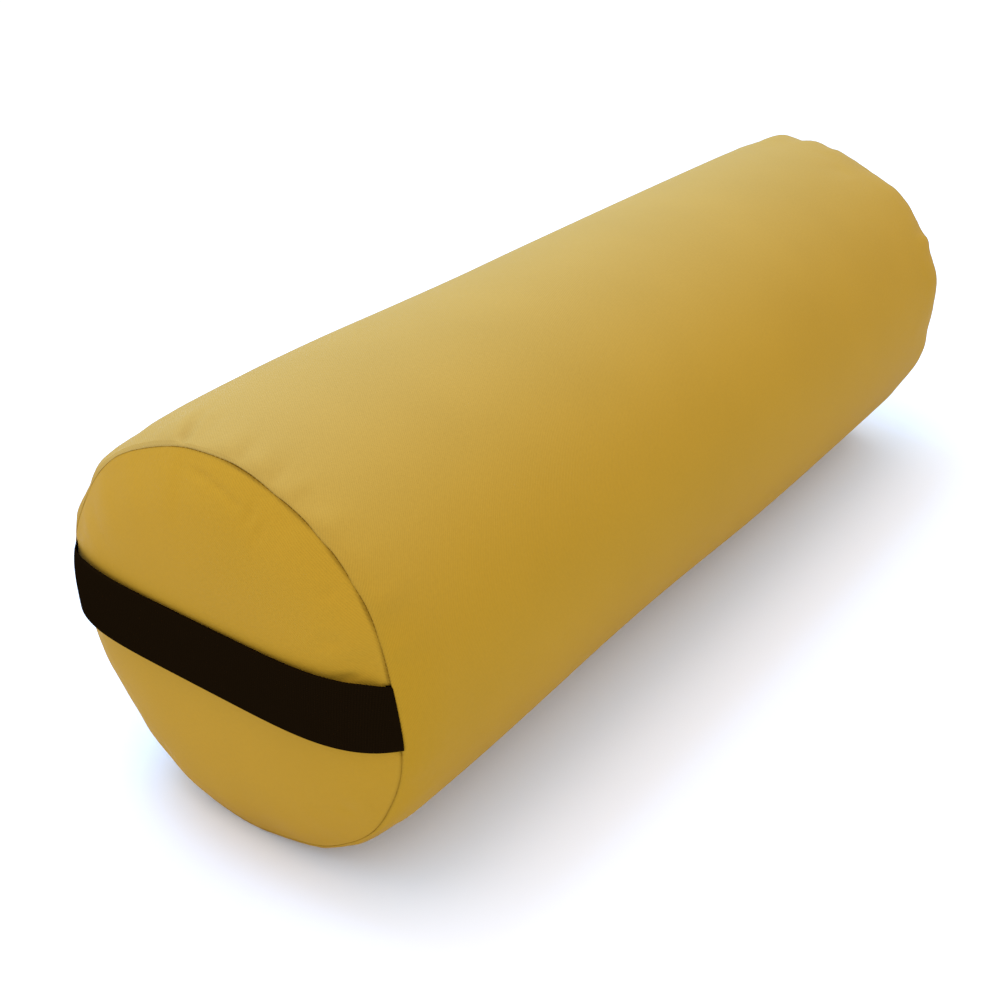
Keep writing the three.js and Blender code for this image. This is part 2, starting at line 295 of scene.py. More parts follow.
def cut_shape():
    """The side panel at its cut size: a tube with spare cloth towards the seams."""
    along = np.hypot(np.diff(side_x), np.diff(side_radius.mean(1)))
    x = np.concatenate([[0], along.cumsum()])
    x += (SEAM_X[NEAR] + SEAM_X[FAR] - x[-1]) / 2
    slack = SEAM_SLACK * (1 - side_from_seam / SLACK_REACH).clip(0, 1)
    rough = np.random.default_rng(CHANCE_SEED).normal(0, ROUGHNESS_OF_HAND, side_radius.shape)
    radius = side_radius * (CUT_SHARE + slack[:, None]) + rough
    return on_axis(x[:, None], turns[None, :], radius)


def sewn_cloth():
    """The side panel as a cloth object at its cut size, with its sewn shape as a shape key."""
    rows, steps = side_radius.shape
    cloth = mesh_object("side_cloth", cut_shape().reshape(-1, 3), tube_faces(rows, steps))
    seams = cloth.vertex_groups.new(name="seams")
    seams.add(list(range(steps)) + list(range((rows - 1) * steps, rows * steps)), 1.0, "REPLACE")
    cloth.shape_key_add(name="cut")
    sewn = cloth.shape_key_add(name="sewn")
    sewn_points = on_axis(side_x[:, None], turns[None, :], side_radius)
    sewn.data.foreach_set("co", sewn_points.reshape(-1).astype(np.float32))
    return cloth, sewn


def settle_side():
    """Radius of the side panel after it was sewn and filled as cloth."""
    cloth, sewn = sewn_cloth()
    modifier = cloth.modifiers.new("Cloth", "CLOTH")
    modifier.point_cache.frame_end = CLOTH_FRAMES
    fabric = modifier.settings
    fabric.quality = CLOTH_QUALITY
    fabric.tension_stiffness = STRETCH_STIFFNESS
    fabric.compression_stiffness = STRETCH_STIFFNESS
    fabric.shear_stiffness = STRETCH_STIFFNESS / 2
    fabric.bending_stiffness = BENDING_STIFFNESS
    fabric.use_pressure = True
    fabric.uniform_pressure_force = PRESSURE
    fabric.vertex_group_mass = "seams"
    fabric.effector_weights.gravity = 0
    for number in range(1, CLOTH_FRAMES + 1):
        sewn.value = min((number - 1) / (SEWING_FRAMES - 1), 1)
        bpy.context.scene.frame_set(number)
    settled = cloth.evaluated_get(bpy.context.evaluated_depsgraph_get()).data
    points = np.zeros(side_radius.size * 3, np.float32)
    settled.vertices.foreach_get("co", points)
    bpy.context.scene.frame_set(1)
    bpy.data.objects.remove(cloth)
    points = points.reshape(side_radius.shape + (3,)).astype(float)
    return np.hypot(points[..., 1] - AXIS_Y, points[..., 2] - AXIS_Z)


# %% [markdown]
# The simulation knows nothing of the real bolster's size, so only its unevenness is kept: how
# far each point stands out from its neighbours round the bolster, with a cap of under two
# millimetres. A firm filling leaves little of it in the middle and more of it near the seams.

# %% Keep the gathers, capped
GATHER_CAP = 0.0016
GATHER_SHARE = 0.55
MIDDLE_SHARE = 0.12
GATHER_REACH = 0.045
NEIGHBOURS = 11


def blurred_round(table, reach):
    """Mean of each point's neighbours round the bolster, reach steps to either side."""
    around = np.concatenate([table[:, -reach:], table, table[:, :reach]], axis=1)
    totals = np.concatenate([np.zeros((len(table), 1)), around.cumsum(1)], axis=1)
    return (totals[:, 2 * reach + 1:] - totals[:, :-2 * reach - 1]) / (2 * reach + 1)


unevenness = settle_side() - side_radius
kept = MIDDLE_SHARE + (GATHER_SHARE - MIDDLE_SHARE) * np.exp(-side_from_seam / GATHER_REACH)
gathers = (unevenness - blurred_round(unevenness, NEIGHBOURS)) * kept[:, None]
gathers = gathers.clip(-GATHER_CAP, GATHER_CAP)
print("gathers up to", round(float(np.abs(gathers).max()) * 1000, 2), "mm")
side_rows = on_axis(side_x[:, None], turns[None, :], side_radius + gathers)

# %% [markdown]
# ## Seam groove
# The two edges of a seam turn inwards and are stitched together below the surface, which
# leaves a narrow groove between two soft lips. The stitches don't pull equally hard all
# round, so the groove comes and goes. A bump in the finish could only hint at it. Here it is
# real: the first step from the seam is cut into smaller ones, and each new row sinks by how
# near it lies to the seam line and by how hard the stitches pull there.

# %% Groove between the panels
FINE_STEPS = [0, 0.08, 0.17, 0.27, 0.38, 0.5, 0.65, 0.82]
GROOVE_DEPTH = 0.0014
GROOVE_WIDTH = 0.0014
PULL_CONTRAST = 1.5
FAR_PULL = 0.6
FAR_PULL_SWING = 0.6
FAR_PULL_LEAST = 0.2
FAR_PULL_SCALE = 5
FAR_PULL_SLICE = 0.7
SEEN_PULL = {
    # turn: how hard the stitches pull the near seam in, 1 is hardest
    15.5: 1.0, 18: 0.9, 23: 0.7, 27: 0.55, 30: 0.75, 33: 1.0, 36: 1.0, 39: 0.6, 41: 0.4,
    44: 0.85, 49: 0.9, 52: 0.4, 55: 0.45, 58: 0.9, 62: 1.0, 65.5: 0.9, 68: 0.5, 70: 0.7,
    74: 1.0, 80: 1.0, 86: 0.65, 92: 0.6, 96: 0.6, 100: 0.4, 105: 0.35, 111: 0.4, 117: 0.2,
    125: 0.12, 178: 0.12, 190: 0.5, 215: 0.8, 240: 0.5, 265: 0.3, 290: 0.2, 315: 0.2,
    326: 0.4, 337: 0.5, 345: 0.45, 352: 0.5, 359: 0.9,
}


def seam_pull(side):
    """How hard the stitches pull at every turn of the grid. Chance sets the far seam's pull."""
    if side == NEAR:
        return np.interp(turns, list(SEEN_PULL), list(SEEN_PULL.values()), period=360) ** PULL_CONTRAST
    chance = [noise.noise(Vector((*outwards(turn), FAR_PULL_SLICE)) * FAR_PULL_SCALE) for turn in turns]
    return (FAR_PULL + FAR_PULL_SWING * np.array(chance)).clip(FAR_PULL_LEAST, 1)


def sunk_into_seam(rows, seam_row, side):
    """Rows of a panel that dip into the groove where they come near the seam row."""
    distance = np.linalg.norm(rows - seam_row, axis=-1)
    depth = GROOVE_DEPTH * seam_pull(side) * (1 - distance / GROOVE_WIDTH).clip(0, 1) ** 2
    sunk = rows.copy()
    sunk[..., 0] -= side * depth
    return sunk


def lip_rows(rows, side):
    """One end of the side, finer towards the seam and sunk into the groove. Its seam row comes first."""
    fine = np.array(FINE_STEPS + list(range(1, len(rows))), float)
    fine_rows = through_rows(rows, fine)
    return sunk_into_seam(fine_rows, rows[0], side)


print("pull of the near seam:", seam_pull(NEAR).min().round(2), "to", seam_pull(NEAR).max().round(2))

# %% [markdown]
# ## The wall behind the seam
# On the real bolster the edge of the side panel is folded in behind the end panel. Nobody
# sees it, but a side that stopped at the seam would show a slit. So a short wall goes on
# inwards from the seam row and drops behind the end panel's rim. It is given by a few rows
# only, each by its depth behind the seam and how much smaller than the seam ring it is.

# %% Rows of the side cover, from end to end
SEAM_WALL = [(0.0033, 0.0), (0.0052, 0.0003), (0.0056, 0.006)]


def seam_ring(side):
    """Radius of a seam at every turn of the cloth's grid."""
    return side_radius[0] if side == NEAR else side_radius[-1]


def half_cover(rows, side):
    """Half of the side's rows, seam first, after the wall that hides behind the end panel."""
    wall = []
    for depth, inset in reversed(SEAM_WALL):
        wall.append(on_axis(SEAM_X[side] - side * depth, turns, seam_ring(side) - inset))
    return np.concatenate([wall, lip_rows(rows, side)])


near_half = half_cover(side_rows[:HALF_ROWS + 1], NEAR)
far_half = half_cover(side_rows[:HALF_ROWS - 1:-1], FAR)
cover_rows = np.concatenate([near_half, far_half[-2::-1]])
print("side cover rows", cover_rows.shape)

# %% [markdown]
# ## End panels
# Each end is a round piece of the same cloth, pushed out into a low dome by the filling. Its
# tape readings are taken along the axis instead of across it. At the strap's two roots the
# solid is drawn in widely to make room. Cloth needs less room than a solid, so those readings
# are filled from their neighbours, and a narrow seat is pressed in later. The near panel is
# also up to 5.6 millimetres fuller than its solid, so that its cloth comes close to the
# strap. That filling has one value for each row of the table, from the middle to the rim.

# %% Tape readings of the end panels
PANEL_SHARES = [0.34, 0.58, 0.76, 0.87, 0.94]
NEAR_FILLING_MM = [4.4, 4.4, 4.8, 5.6, 5.2, 3.6, 1.8, 0]
RIM_GAP = 0.00012
ROOT_STEP = 0.0012


def panel_reading(tree, side, turn, radius):
    """How far an end panel's outer face stands out of its seam plane at a turn and a radius."""
    start = on_axis(side * RAY_START * 2, turn, radius)
    hit = tree.ray_cast(Vector(start), Vector((-side, 0, 0)))
    return (hit[0][0] - SEAM_X[side]) * side


def without_roots(row):
    """A row of readings where the ones that are drawn in at a strap root are filled from beside them."""
    plain = row > np.median(row) - ROOT_STEP
    return np.interp(reading_turns, reading_turns[plain], row[plain], period=360)


def panel_table(side):
    """Height of the outer face over the seam plane: rows are shares of the radius, columns turns.

    The row before the middle mirrors the one after it, so the dome is smooth at its tip.
    """
    tree = ray_tree(END_NODES[side])
    ring = round_table(seam_ring(side)[None, :], READINGS_ROUND)[0] - RIM_GAP
    rows = [np.full(READINGS_ROUND, PANEL_CROWN)]
    for share in PANEL_SHARES:
        row = [panel_reading(tree, side, turn, share * radius) for turn, radius in zip(reading_turns, ring)]
        rows.append(without_roots(np.array(row)))
    rows.append(np.zeros(READINGS_ROUND))
    mirrored = rows[1]
    table = np.array([mirrored] + rows)
    if side == NEAR:
        table += np.array(NEAR_FILLING_MM)[:, None] / 1000
    return round_table(table, ROUND_STEPS)


panel_tables = {side: panel_table(side) for side in (NEAR, FAR)}
print("end panels read at", len(PANEL_SHARES), "shares of the radius")

# %% [markdown]
# ## The strap's path
# The strap is webbing whose two ends are sewn into the seam. It leaves the seam at one side,
# stands out like a low handle and goes back in at the other side. The same curve as in the
# CAD model gives it here, so the cloth and the webbing can be fitted to each other.

# %% Path of the strap
STRAP_THICKNESS = 0.0025
STRAP_LEAN = 0.0026
STRAP_SEAM_GAP = 0.00045
STRAP_SPAN_POWER = 5
STRAP_RISE_POWER = 1.35
BACK_DIP = 0.0045
BACK_DIP_FROM = 0.72
FRONT_DIP = 0.0024
FRONT_DIP_FROM = 0.90

strap_low, strap_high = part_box("carry_strap")
STRAP_WIDTH = strap_high.z - strap_low.z
STRAP_MIDDLE = (strap_high.z + strap_low.z) / 2 - AXIS_Z
STRAP_RISE = SEAM_X[NEAR] - strap_low.x


def strap_reach(height, way):
    """Half span of the strap at a height above the axis. way is -1 at the front and 1 at the back."""
    turn = np.degrees(np.arcsin(height / seam_ring(NEAR).mean()))
    ring = np.interp(np.where(way < 0, turn, 180 - turn), turns, seam_ring(NEAR), period=360)
    return np.sqrt((ring - STRAP_SEAM_GAP) ** 2 - height ** 2)


def strap_rise(share, across):
    """How far the outer face stands out of the seam plane. across is 0 at the low edge, 1 at the top."""
    full = STRAP_RISE - STRAP_LEAN * across
    return full * (1 - np.abs(share) ** STRAP_SPAN_POWER) ** (1 / STRAP_RISE_POWER)


def root_dip(shares):
    """How far the top edge sinks where the webbing goes into the seam."""
    back = (shares - BACK_DIP_FROM) / (1 - BACK_DIP_FROM)
    front = (-shares - FRONT_DIP_FROM) / (1 - FRONT_DIP_FROM)
    return BACK_DIP * back.clip(0, 1) ** 2 + FRONT_DIP * front.clip(0, 1) ** 2


print("strap", round(STRAP_WIDTH * 1000, 1), "mm wide, stands out", round(STRAP_RISE * 1000, 1), "mm")

# %% [markdown]
# ## End covers
# Each end cover is a thin closed sheet: an outer face, an inner face, and a thin rim that
# dips into the seam groove. A disc with a Solidify modifier could give that, but its rim
# would be as thick as its middle. Here both faces are rows of points, so the sheet can thin
# out towards the seam. Small pleats run in from the rim, because the panel is eased onto the
# side's edge while it is sewn.

# %% Height of an end cover
PLEAT_DEPTH = 0.00035
PLEAT_REACH = 0.1
PLEAT_TURNS = 9.0
PLEAT_SLICE = 3.7


def panel_height(side, shares):
    """Smooth height of the outer face over the seam plane, one row for each share."""
    readings = np.array([-PANEL_SHARES[0], 0] + PANEL_SHARES + [1])[:, None]
    count = np.linspace(0, len(readings) - 1, CURVE_STEPS)
    at = np.interp(shares, through_rows(readings, count)[:, 0], count)
    return through_rows(panel_tables[side], at)


def pleats(side, shares):
    """Small uneven pleats that fade inwards from the rim."""
    wave = np.zeros(ROUND_STEPS)
    for step, turn in enumerate(turns):
        y, z = outwards(turn)
        wave[step] = noise.noise(Vector((y * PLEAT_TURNS, z * PLEAT_TURNS, side * PLEAT_SLICE)))
    near_rim = ((shares - 1 + PLEAT_REACH) / PLEAT_REACH).clip(0, 1)
    return PLEAT_DEPTH * wave[None, :] * (near_rim * (1 - near_rim) * 4)[:, None]


pleat_heights = pleats(NEAR, np.array([1 - PLEAT_REACH / 2]))
print("near pleats up to", round(float(pleat_heights.max()) * 1000, 2), "mm")

# %% [markdown]
# ## A seat for the strap's roots
# The webbing is sewn in between the two panels, so at its roots the end panel lies behind it
# and is pressed inwards. A Boolean cut would leave a hard edge. Here each point that would
# stand in the webbing moves towards the middle and into the bolster by the same amount. The
# seat fades out below the strap. It stops inside the strap's top edge, so the cloth closes
# over the root there.

# %% Press in the seat
SEAT_CLEAR = 0.0006
SEAT_EDGE = 0.0015
RING_REACH = 0.1

def seated_under_strap(points):
    """Points of the near cover, pressed in where a root of the strap stands on them."""
    height = points[..., 2] - AXIS_Z
    way = np.sign(points[..., 1])
    below_top = STRAP_WIDTH / 2 - root_dip(way) - (height - STRAP_MIDDLE)
    above_bottom = STRAP_WIDTH / 2 + (height - STRAP_MIDDLE)
    pressed = np.minimum(below_top / SEAT_EDGE, above_bottom / SEAT_EDGE + 1).clip(0, 1)
    limit = strap_reach(height.clip(-RING_REACH, RING_REACH), way) - STRAP_THICKNESS - SEAT_CLEAR
    excess = (np.abs(points[..., 1]) - limit).clip(0, None) * pressed
    seated = points.copy()
    seated[..., 1] -= way * excess
    seated[..., 0] += excess
    return seated


# %% [markdown]
# Now the two faces are put together. The rows lie closer together towards the rim, where the
# groove and the seat are small. The inner face needs few rows, because nobody sees it.

# %% Build the end covers
COVER_THICKNESS = 0.0015
RIM_THICKNESS = 0.00025
THIN_RIM = 0.05
COVER_SHARES = [0.05, 0.14, 0.24, 0.34, 0.44, 0.53, 0.61, 0.68, 0.74, 0.79, 0.83, 0.865, 0.895, 0.92]
COVER_SHARES += [0.94, 0.956, 0.968, 0.977, 0.9835, 0.989, 0.9935, 0.997, 1.0]
INNER_SHARES = [1.0, 0.985, 0.96, 0.93, 0.87, 0.76, 0.58, 0.34, 0.1]

def cover_face(side, shares, inset):
    """Rows of an end cover's face, lowered by inset below the outer one, from the middle outwards."""
    shares = np.array(shares)
    height = panel_height(side, shares) + pleats(side, shares)
    radius = shares[:, None] * (seam_ring(side)[None, :] - RIM_GAP)
    rows = on_axis(SEAM_X[side] + side * height, turns[None, :], radius)
    rim = on_axis(SEAM_X[side], turns, seam_ring(side) - RIM_GAP)
    rows = sunk_into_seam(rows, rim, side)
    thickness = RIM_THICKNESS + (COVER_THICKNESS - RIM_THICKNESS) * ((1 - shares) / THIN_RIM).clip(0, 1)
    rows[..., 0] -= side * (inset * thickness)[:, None]
    return seated_under_strap(rows) if side == NEAR else rows


def end_cover(name, side):
    """An end cover as a closed sheet."""
    outer = cover_face(side, COVER_SHARES, 0)
    inner = cover_face(side, INNER_SHARES, 1)
    tip = tip_of(side)
    inner_tip = tip - np.array([side * COVER_THICKNESS, 0, 0])
    rows = np.concatenate([outer, inner])
    if side == FAR:
        return closed_tube(name, rows[::-1], inner_tip, tip)
    return closed_tube(name, rows, tip, inner_tip)


end_covers = {NEAR: end_cover("end_cover_near", NEAR), FAR: end_cover("end_cover_far", FAR)}
print("end covers:", [len(cover.data.polygons) for cover in end_covers.values()], "faces")

# %% [markdown]
# ## Side cover
# The side cover closes behind the end panels, where nobody sees it. Each hidden end is a dish
# that keeps clear of the panel's inner face. It could be left open, but a closed body has a
# true inside and outside, as the filled bolster does. Smooth curves round the cloth between
# its rows, as in every tube here.

# %% Build the side cover
DISH_GAP = 0.0042
DISH_SHARES = [0.88, 0.6, 0.25]


def dish(side):
    """Hidden end of the side cover, from the rim inwards, with its middle point."""
    shares = np.array(DISH_SHARES)
    radius = shares[:, None] * seam_ring(side)[None, :]
    height = panel_height(side, shares) - DISH_GAP
    middle = tip_of(side) - np.array([side * DISH_GAP, 0, 0])
    return on_axis(SEAM_X[side] + side * height, turns[None, :], radius), middle


near_dish, near_middle = dish(NEAR)
far_dish, far_middle = dish(FAR)
all_rows = np.concatenate([near_dish[::-1], cover_rows, far_dish])
side_cover = closed_tube("side_cover", all_rows, near_middle, far_middle)
print("side cover:", len(side_cover.data.polygons), "faces")

# %% [markdown]
# ## Folds set one by one
# The simulation gives gathers of the right kind, but not the ones of this bolster. A few
# show clearly in the photograph, and those are listed one by one. A sculpting brush could do it,
# but code can be read and changed later. These helpers take the points of a piece out as one
# array and put them back.

# %% Read and write points of a piece
def points_of(piece):
    """Corner points of a piece as an array."""
    points = np.zeros(len(piece.data.vertices) * 3)
    piece.data.vertices.foreach_get("co", points)
    return points.reshape(-1, 3)


def normals_of(piece):
    """Normals at the corner points of a piece."""
    normals = np.zeros(len(piece.data.vertices) * 3)
    piece.data.vertex_normals.foreach_get("vector", normals)
    return normals.reshape(-1, 3)


def move_points(piece, points):
    """Puts the corner points of a piece elsewhere."""
    piece.data.vertices.foreach_set("co", points.reshape(-1))
    piece.data.update()


def turn_of(points):
    """Turn round the axis in degrees, 0 to 360."""
    return np.degrees(np.arctan2(points[:, 2] - AXIS_Z, AXIS_Y - points[:, 1])) % 360


def turn_between(turn, centre):
    """Signed difference of two turns in degrees."""
    return (turn - centre + 180) % 360 - 180


# %% [markdown]
# Small puffs stand up beside the near seam, and a pinched pleat sits near its top. Each one
# has a turn, a half width in degrees, a reach in millimetres, a height in millimetres and a
# lean in degrees for each millimetre from the seam. It rises from nothing just outside the
# seam and dies away along the bolster.

# %% Puffs and pleats beside the near seam
PUFF_START_MM = 1.0
SEEN_PUFFS = [
    (85.0, 3.0, 6.0, 1.50, 0.1),
    (75.0, 2.2, 5.0, 1.15, 0.1),
    (65.5, 2.2, 5.0, 1.20, 0.0),
    (54.0, 3.0, 6.0, 0.80, 0.0),
    (34.5, 3.0, 6.0, 1.20, 0.0),
    (23.0, 2.6, 5.0, 0.90, 0.0),
    (171.0, 13.0, 12.0, 1.9, 0.0),
]
SEEN_PLEATS = [
    (99.0, 1.2, 7.0, -2.30, 0.15),
    (95.8, 1.5, 7.0, 1.20, 0.15),
    (102.4, 1.8, 8.0, 0.90, 0.15),
    (80.0, 1.5, 5.0, -1.10, 0.1),
    (70.0, 1.2, 5.0, -0.90, 0.1),
]



def fold_heights(points, side, folds):
    """Sum of the folds' heights at each point, in metres."""
    from_seam = (points[:, 0] - SEAM_X[side]) * -side * 1000
    turn = turn_of(points)
    height = np.zeros(len(points))
    for centre, half_width, reach, top, lean in folds:
        around = np.exp(-(turn_between(turn, centre + lean * from_seam) / half_width) ** 2)
        along = ((from_seam - PUFF_START_MM) / reach).clip(0, None)
        height += top / 1000 * around * along * np.exp(1 - along)
    return height
print("folds seen at the near seam:", len(SEEN_PUFFS) + len(SEEN_PLEATS))

# %% [markdown]
# The photograph hides the back of the near seam and most of the far one. Those get puffs of
# the same kind, placed by chance. The chance has a seed, so every run gives the same bolster.
# A puff's half width, reach, height and lean are drawn between two limits each.

# %% Puffs at the hidden stretches
HIDDEN_FROM = 108
HIDDEN_TO = 350
FAR_TO = 355
FAR_SEED = 21
NEAR_SEED = 5
PUFF_LIMITS = [(2.0, 3.8), (5, 9), (0.15, 0.7), (-0.15, 0.15)]
PUFF_SPACING = (6, 14)


def chance_puffs(first, last, seed):
    """Puffs of uneven spacing and size between two turns."""
    chance = np.random.default_rng(seed)
    puffs = []
    turn = first
    while turn < last:
        puffs.append((turn, *(chance.uniform(*limits) for limits in PUFF_LIMITS)))
        turn += chance.uniform(*PUFF_SPACING)
    return puffs


near_folds = SEEN_PUFFS + SEEN_PLEATS + chance_puffs(HIDDEN_FROM, HIDDEN_TO, NEAR_SEED)
far_folds = chance_puffs(0, FAR_TO, FAR_SEED)
points = points_of(side_cover)
heights = fold_heights(points, NEAR, near_folds) + fold_heights(points, FAR, far_folds)
points += normals_of(side_cover) * heights[:, None]
points[:, 2] = points[:, 2].clip(0, None)
move_points(side_cover, points)
print("folds:", len(near_folds), "near,", len(far_folds), "far")

# %% [markdown]
# The near end panel isn't smooth either. The filling pushes unevenly, and shallow dents lie
# beside the seam. Each dent is a soft hollow with a turn, a radius, a half width round the
# panel, a half length across it and a depth, all but the turn in millimetres.

# %% Dents in the near end cover
SEEN_DENTS = [
    (90.0, 108.5, 6.5, 2.2, 0.90),
    (83.0, 107.0, 6.5, 2.2, 1.00),
    (77.0, 105.5, 5.0, 2.4, 0.80),
    (71.0, 105.0, 2.6, 5.0, 0.95),
    (66.0, 101.0, 2.6, 6.0, 0.75),
    (42.0, 110.0, 3.0, 4.5, 0.85),
    (30.0, 97.0, 4.0, 7.0, 0.85),
    (18.5, 97.0, 2.2, 6.0, 1.40),
    (327.0, 101.0, 5.0, 5.0, 0.80),
    (238.0, 99.0, 6.0, 6.0, 0.95),
]


def dent_depths(points, dents):
    """Sum of the dents' depths at each point of an end cover, in metres."""
    radius = np.hypot(points[:, 1] - AXIS_Y, points[:, 2] - AXIS_Z) * 1000
    turn = turn_of(points)
    depth = np.zeros(len(points))
    for centre, out, half_width, half_length, bottom in dents:
        round_way = np.radians(turn_between(turn, centre)) * out / half_width
        across_way = (radius - out) / half_length
        depth += bottom / 1000 * np.exp(-round_way ** 2 - across_way ** 2)
    return depth


points = points_of(end_covers[NEAR])
dents = dent_depths(points, SEEN_DENTS)
points[:, 0] -= NEAR * dents
move_points(end_covers[NEAR], points)
print("dents up to", round(float(dents.max()) * 1000, 2), "mm deep")

# %% [markdown]
# ## Painted shade in the creases
# The bottom of a pulled crease lies in shade, and the shape alone can't show that at this
# size, so the shade is painted into the colour. A painted image could hold it, but a value
# stored at each point needs no image: it is 0 on open cloth and 1 in the crease where the
# stitches pull most. The cloth's finish reads it later and darkens its colour by it.

# %% Mark the painted crease shade
PAINTED_SHADE_REACH = 0.0010


def mark_painted_crease_shade(piece):
    """Stores how deep in a seam's crease each corner point lies, as the mask of the painted shade."""
    points = points_of(piece)
    turn = turn_of(points)
    radius = np.hypot(points[:, 1] - AXIS_Y, points[:, 2] - AXIS_Z)
    painted_crease_shade = np.zeros(len(points))
    for side in (NEAR, FAR):
        ring = np.interp(turn, turns, seam_ring(side), period=360)
        pull = np.interp(turn, turns, seam_pull(side), period=360)
        distance = np.hypot(points[:, 0] - SEAM_X[side], radius - ring)
        painted_crease_shade += pull * np.exp(-(distance / PAINTED_SHADE_REACH) ** 2)
    piece.data.attributes.new("painted_crease_shade", "FLOAT", "POINT").data.foreach_set("value", painted_crease_shade)


for piece in (side_cover, *end_covers.values()):
    mark_painted_crease_shade(piece)
    print("creases marked on", piece.name)

# %% [markdown]
# ## Seam thread
# A line of short stitches holds each seam at the bottom of its groove. The thread could be
# painted on, but a painted stitch casts no shadow. Each stitch here is a small rounded bar
# that lies along the seam. First come the places: the seam line is measured out in equal
# steps, and each stitch points at its neighbour.

# %% Places of the stitches
STITCH_PITCH = 0.0030
THREAD_DEPTH = 0.00035
LINE_POINTS = 3601
def stitch_centres(side):
    """Middle of every stitch on one seam, with its direction."""
    ring = seam_ring(side)
    fine_turns = np.linspace(0, 360, LINE_POINTS)
    radius = np.interp(fine_turns, turns, ring, period=360)
    depth = THREAD_DEPTH + GROOVE_DEPTH / 2 * np.interp(fine_turns, turns, seam_pull(side), period=360)
    line = on_axis(SEAM_X[side] - side * depth, fine_turns, radius)
    length = np.concatenate([[0], np.linalg.norm(np.diff(line, axis=0), axis=1).cumsum()])
    count = round(length[-1] / STITCH_PITCH)
    at = (np.arange(count) + 0.5) * length[-1] / count
    centres = np.stack([np.interp(at, length, line[:, axis]) for axis in range(3)], -1)
    ahead = np.roll(centres, -1, axis=0) - np.roll(centres, 1, axis=0)
    return centres, ahead / np.linalg.norm(ahead, axis=1)[:, None]


print("stitches on the far seam:", len(stitch_centres(FAR)[0]))

# %% [markdown]
# Under the strap's roots the webbing hides the seam, and at the upper back of the near end
# the cloth rolls over it. No stitch is made there. The bars of one seam are joined into one
# piece, because a sewing machine makes them from one thread.

# %% Build the seam thread
STITCH_LENGTH = 0.0022
THREAD_RADIUS = 0.00024
STITCH_RINGS = [(-0.5, 0.35), (-0.42, 0.85), (-0.2, 1.0), (0.2, 1.0), (0.42, 0.85), (0.5, 0.35)]
STITCH_SIDES = 6
ROLLED_TURN = 145
ROLLED_HALF = 32


def stitch_points(centre, along):
    """Corners of one bar, ring by ring. A ring has a place along the bar and a share of its radius."""
    across = np.array([1.0, 0, 0])
    up = np.cross(along, across)
    points = []
    for place, share in STITCH_RINGS:
        for corner in range(STITCH_SIDES):
            angle = corner * 2 * math.pi / STITCH_SIDES
            out = across * math.cos(angle) + up * math.sin(angle)
            points.append(centre + along * place * STITCH_LENGTH + out * share * THREAD_RADIUS)
    return points


def stitch_faces(first):
    """Faces of one bar with both ends closed. first is the number of its first corner."""
    last = first + (len(STITCH_RINGS) - 1) * STITCH_SIDES
    sides = tube_faces(len(STITCH_RINGS), STITCH_SIDES)
    faces = [tuple(first + corner for corner in face) for face in sides]
    faces.append(tuple(first + corner for corner in reversed(range(STITCH_SIDES))))
    faces.append(tuple(last + corner for corner in range(STITCH_SIDES)))
    return faces


def shown_stitches(centres):
    """Which stitches of the near seam are neither under the strap nor under rolled cloth."""
    beside_strap = STRAP_WIDTH / 2 + STITCH_LENGTH / 2
    shown = np.abs(centres[:, 2] - AXIS_Z - STRAP_MIDDLE) > beside_strap
    return shown & (np.abs(turn_between(turn_of(centres), ROLLED_TURN)) > ROLLED_HALF)


def seam_thread(name, side):
    """All stitches of one seam as one piece."""
    centres, ahead = stitch_centres(side)
    if side == NEAR:
        shown = shown_stitches(centres)
        centres, ahead = centres[shown], ahead[shown]
    points = []
    faces = []
    for centre, along in zip(centres, ahead):
        faces += stitch_faces(len(points))
        points += stitch_points(centre, along)
    return smooth_object(name, np.array(points), faces)


seam_threads = {NEAR: seam_thread("seam_thread_near", NEAR), FAR: seam_thread("seam_thread_far", FAR)}
print("thread faces:", [len(thread.data.polygons) for thread in seam_threads.values()])

# %% [markdown]
# ## Strap
# The strap is flat cotton webbing: two flat faces and two rounded woven edges, which are
# called selvedges. A curve with a bevel could make it, but the strap is wider at its low edge
# than at its top, because the end panel is round. So its cross-section is a loop of points,
# each with its share of the width and its depth under the outer face.

# %% Cross-section of the webbing
SELVEDGE = 0.0009
SELVEDGE_STEPS = 4
FLAT_LANES = 14
def strap_loop():
    """Corners round the strap's cross-section as rows of (share across, depth below the outer face)."""
    bend = np.linspace(0, math.pi / 2, SELVEDGE_STEPS + 1)
    edge = SELVEDGE / STRAP_WIDTH
    low = list(zip(edge * (1 - np.cos(bend)), SELVEDGE * (1 - np.sin(bend))))
    flat = [(across, 0.0) for across in np.linspace(edge, 1 - edge, FLAT_LANES)[1:-1]]
    high = [(1 - across, depth) for across, depth in reversed(low)]
    outer = low + flat + high
    inner = [(across, STRAP_THICKNESS - depth) for across, depth in reversed(outer)]
    return np.array(outer + inner)


print("points round the webbing:", len(strap_loop()))

# %% [markdown]
# The loop is repeated along the strap's path, and each copy stands square to it. The copies
# lie closer together at the roots, where the path turns sharply into the seam. At both ends
# a short tail goes on inside the groove, where the two panels hold it.

# %% Build the strap
STRAP_STEPS = 56
STRAP_CROWDING = 1.9
STRAP_TAIL = 0.0026
TANGENT_STEP = 0.002


def strap_path(shares, across):
    """Outer face as (y, place along the axis): rows are shares of the span, columns places across."""
    height = STRAP_MIDDLE + (across - 0.5) * STRAP_WIDTH
    way = np.where(shares < 0, -1, 1)[:, None]
    y = shares[:, None] * strap_reach(height[None, :], way)
    return y, SEAM_X[NEAR] - strap_rise(shares[:, None], across[None, :])
def strap_shares():
    """Shares of the span from root to root, closer together at the roots."""
    left = np.linspace(1, 0, STRAP_STEPS + 1)
    half = 1 - left ** STRAP_CROWDING
    return np.concatenate([-half[:0:-1], half])


